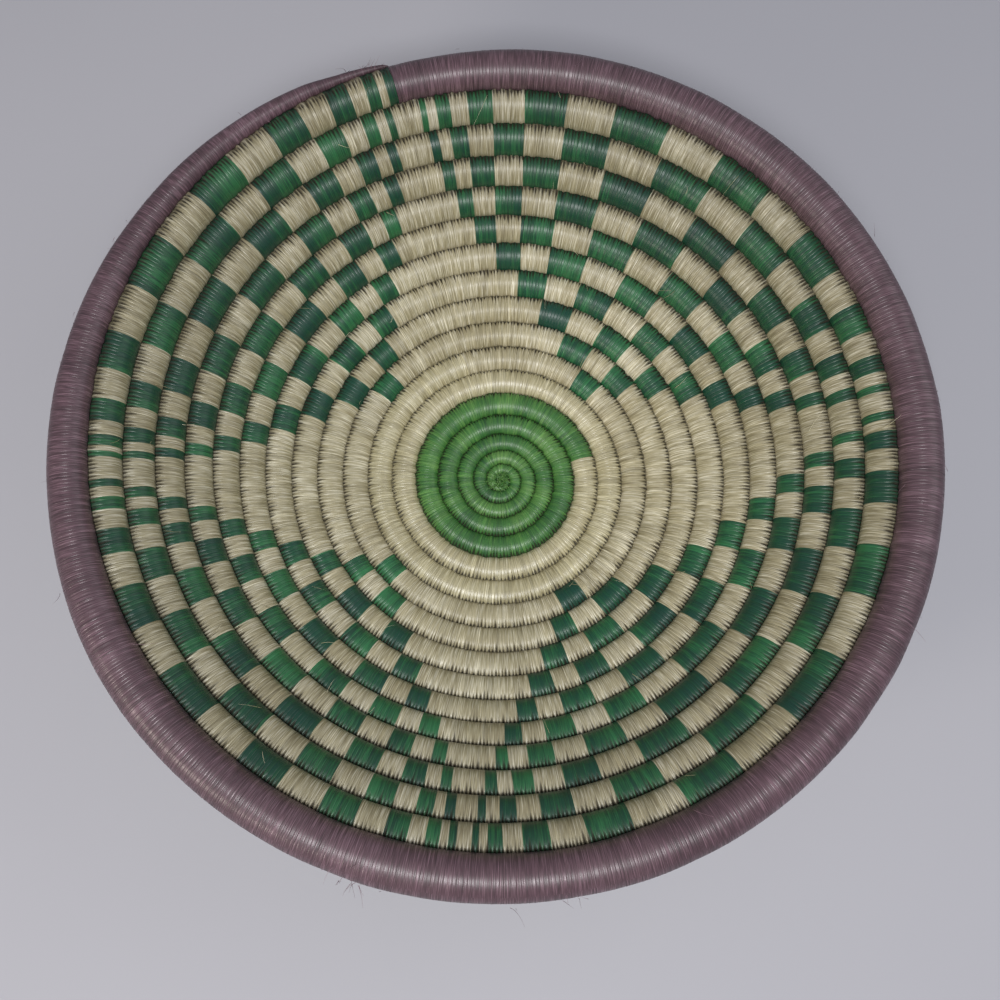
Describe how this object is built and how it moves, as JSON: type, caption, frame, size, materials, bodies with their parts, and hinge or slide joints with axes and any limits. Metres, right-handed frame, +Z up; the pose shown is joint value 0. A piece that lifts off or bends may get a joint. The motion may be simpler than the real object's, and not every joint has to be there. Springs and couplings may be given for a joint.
{
  "type": "coiled basket bowl",
  "caption": "Shallow round bowl coiled from a grass rope wrapped in sisal strand, with a green centre, checkered green and cream wall and thick mauve rim, to hold fruit, bread or small things.",
  "frame": {"origin": "on the table plane, under the middle of the bowl's outline seen from above", "axes": "+Z up out of the bowl's mouth, +X along its widest way across, +Y towards the side where the rim starts and its tail ends"},
  "size_m": [0.3062, 0.303, 0.0823],
  "materials": {
    "green_sisal": "satin",
    "cream_sisal": "satin",
    "checkered_sisal": "satin",
    "mauve_sisal": "satin",
    "grass": "matte"
  },
  "bodies": {
    "root": {"start_knot": "green_sisal", "green_wrap_1": "green_sisal", "green_wrap_2": "green_sisal", "green_wrap_3": "green_sisal", "green_wrap_4": "green_sisal", "cream_wrap_1": "cream_sisal", "cream_wrap_2": "cream_sisal", "checker_wrap_1": "checkered_sisal", "checker_wrap_2": "checkered_sisal", "checker_wrap_3": "checkered_sisal", "checker_wrap_4": "checkered_sisal", "checker_wrap_5": "checkered_sisal", "checker_wrap_6": "checkered_sisal", "checker_wrap_7": "checkered_sisal", "checker_wrap_8": "checkered_sisal", "checker_wrap_9": "checkered_sisal", "checker_wrap_10": "checkered_sisal", "rim_wrap": "mauve_sisal", "rim_tail": "mauve_sisal", "grass_core": "grass", "rim_bundle": "grass"}
  },
  "joints": []
}
